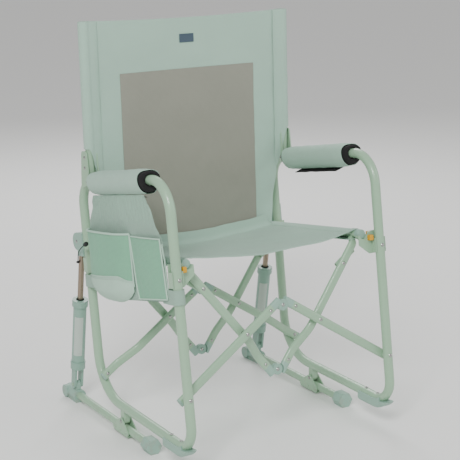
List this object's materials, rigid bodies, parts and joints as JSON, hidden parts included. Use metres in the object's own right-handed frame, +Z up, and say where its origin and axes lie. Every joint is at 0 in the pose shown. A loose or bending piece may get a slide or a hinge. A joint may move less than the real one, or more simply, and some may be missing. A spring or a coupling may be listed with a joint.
{
  "type": "folding rocking camp chair",
  "caption": "Folding camp rocking chair: bent tube sides on spring-strut base bars, double scissor legs, fabric seat and back, padded armrests and a side pocket.",
  "frame": {"origin": "on the floor, midway between the two rocking pivots, with the base bars flat on the floor", "axes": "+X across the chair toward the viewer's right as seen from the front, +Y rearward, +Z up"},
  "size_m": [0.5971, 0.6359, 0.9411],
  "materials": {
    "powder_coat": "satin",
    "fitting_plastic": "matte",
    "strut_plastic": "satin",
    "rivet_steel": "polished",
    "rod_steel": "satin",
    "spring_steel": "satin",
    "seat_cloth": "woven",
    "pocket_cloth": "woven",
    "foam": "foam",
    "latch_plastic": "satin",
    "cord_black": "braided",
    "toggle_plastic": "matte"
  },
  "bodies": {
    "left_side": {"side_frame_left": "powder_coat", "foot_glide_left": "fitting_plastic", "saddle_brackets_left": "powder_coat", "saddle_tabs_left": "latch_plastic", "back_tube_left": "powder_coat", "back_plates_left": "powder_coat", "strut_mount_left": "fitting_plastic", "frame_rivets_left": "rivet_steel", "armrest_pad_left": "foam", "armrest_cover_left": "seat_cloth", "seat_sling": "seat_cloth", "back_sling": "seat_cloth", "pocket_panel": "pocket_cloth", "drink_pocket": "pocket_cloth", "drawcord": "cord_black", "cord_lock": "toggle_plastic"},
    "lower_arms_left": {"front_lower_arm_left": "powder_coat", "rear_lower_arm_left": "powder_coat", "lower_arm_fittings_left": "fitting_plastic", "arm_rivets_lower_left": "rivet_steel"},
    "upper_arms_left": {"front_upper_arm_left": "powder_coat", "rear_upper_arm_left": "powder_coat", "upper_arm_fittings_left": "fitting_plastic", "arm_rivets_upper_left": "rivet_steel", "stays_left": "powder_coat", "seat_rail_left": "powder_coat", "rail_caps_left": "fitting_plastic"},
    "base_left": {"base_bar_left": "powder_coat", "base_ends_left": "fitting_plastic", "rock_bracket_left": "powder_coat"},
    "strut_rod_left": {"strut_rod_left": "rod_steel", "strut_spring_left": "spring_steel"},
    "strut_cylinder_left": {"strut_cylinder_left": "strut_plastic"},
    "right_side": {"side_frame_right": "powder_coat", "foot_glide_right": "fitting_plastic", "saddle_brackets_right": "powder_coat", "saddle_tabs_right": "latch_plastic", "back_tube_right": "powder_coat", "back_plates_right": "powder_coat", "strut_mount_right": "fitting_plastic", "frame_rivets_right": "rivet_steel", "armrest_pad_right": "foam", "armrest_cover_right": "seat_cloth"},
    "lower_arms_right": {"front_lower_arm_right": "powder_coat", "rear_lower_arm_right": "powder_coat", "lower_arm_fittings_right": "fitting_plastic", "arm_rivets_lower_right": "rivet_steel"},
    "upper_arms_right": {"front_upper_arm_right": "powder_coat", "rear_upper_arm_right": "powder_coat", "upper_arm_fittings_right": "fitting_plastic", "arm_rivets_upper_right": "rivet_steel", "stays_right": "powder_coat", "seat_rail_right": "powder_coat", "rail_caps_right": "fitting_plastic"},
    "base_right": {"base_bar_right": "powder_coat", "base_ends_right": "fitting_plastic", "rock_bracket_right": "powder_coat"},
    "strut_rod_right": {"strut_rod_right": "rod_steel", "strut_spring_right": "spring_steel"},
    "strut_cylinder_right": {"strut_cylinder_right": "strut_plastic"}
  },
  "joints": [
    {"name": "fold", "type": "hinge", "parent": "left_side", "child": "lower_arms_left", "pos_m": [-0.265, -0.09342, 0.15148], "axis": [0, -0.989, 0.1478], "range_deg": [0, 43], "deforming": ["seat_sling", "back_sling"]},
    {"name": "upper_hub", "type": "hinge", "parent": "lower_arms_left", "child": "lower_arms_right", "pos_m": [0, -0.06968, 0.31032], "axis": [0, -0.989, 0.1478], "range_deg": [-86.5, 0.5]},
    {"name": "right_arm_feet", "type": "hinge", "parent": "lower_arms_right", "child": "right_side", "pos_m": [0.265, -0.09342, 0.15148], "axis": [0, -0.989, 0.1478], "range_deg": [-0.5, 43.5]},
    {"name": "left_crossing", "type": "hinge", "parent": "lower_arms_left", "child": "upper_arms_left", "pos_m": [-0.097, -0.07705, 0.26097], "axis": [0, -0.989, 0.1478], "range_deg": [-71.02, 0.5]},
    {"name": "right_crossing", "type": "hinge", "parent": "lower_arms_right", "child": "upper_arms_right", "pos_m": [0.097, -0.07705, 0.26097], "axis": [0, -0.989, 0.1478], "range_deg": [-0.5, 71.02]},
    {"name": "rock_left", "type": "hinge", "parent": "left_side", "child": "base_left", "pos_m": [-0.265, 0, 0.036], "axis": [1, 0, 0], "range_deg": [0, 10], "stiffness_Nm_per_rad": 260, "springref_deg": -11.46},
    {"name": "strut_swing_left", "type": "hinge", "parent": "left_side", "child": "strut_rod_left", "pos_m": [-0.265, 0.19714, 0.42453], "axis": [1, 0, 0], "range_deg": [-0.5, 0.95]},
    {"name": "strut_slide_left", "type": "slide", "parent": "strut_rod_left", "child": "strut_cylinder_left", "axis": [0, -0.1659, 0.9861], "range_m": [-0.001, 0.04647], "deforming": ["strut_spring_left"]},
    {"name": "rock_right", "type": "hinge", "parent": "right_side", "child": "base_right", "pos_m": [0.265, 0, 0.036], "axis": [1, 0, 0], "range_deg": [0, 10], "stiffness_Nm_per_rad": 260, "springref_deg": -11.46},
    {"name": "strut_swing_right", "type": "hinge", "parent": "right_side", "child": "strut_rod_right", "pos_m": [0.265, 0.19714, 0.42453], "axis": [1, 0, 0], "range_deg": [-0.5, 0.95]},
    {"name": "strut_slide_right", "type": "slide", "parent": "strut_rod_right", "child": "strut_cylinder_right", "axis": [0, -0.1659, 0.9861], "range_m": [-0.001, 0.04647], "deforming": ["strut_spring_right"]}
  ],
  "couplings": [
    {"joint": "upper_hub", "follows": "fold", "ratio": -2},
    {"joint": "right_arm_feet", "follows": "fold", "ratio": 1},
    {"joint": "left_crossing", "follows": "fold", "ratio": -1.64},
    {"joint": "right_crossing", "follows": "fold", "ratio": 1.64},
    {"joint": "strut_swing_left", "follows": "rock_left", "ratio": 0.0449},
    {"joint": "strut_slide_left", "follows": "rock_left", "m_per_rad": 0.26052},
    {"joint": "rock_right", "follows": "rock_left", "ratio": 1},
    {"joint": "strut_swing_right", "follows": "rock_left", "ratio": 0.0449},
    {"joint": "strut_slide_right", "follows": "rock_left", "m_per_rad": 0.26052}
  ]
}
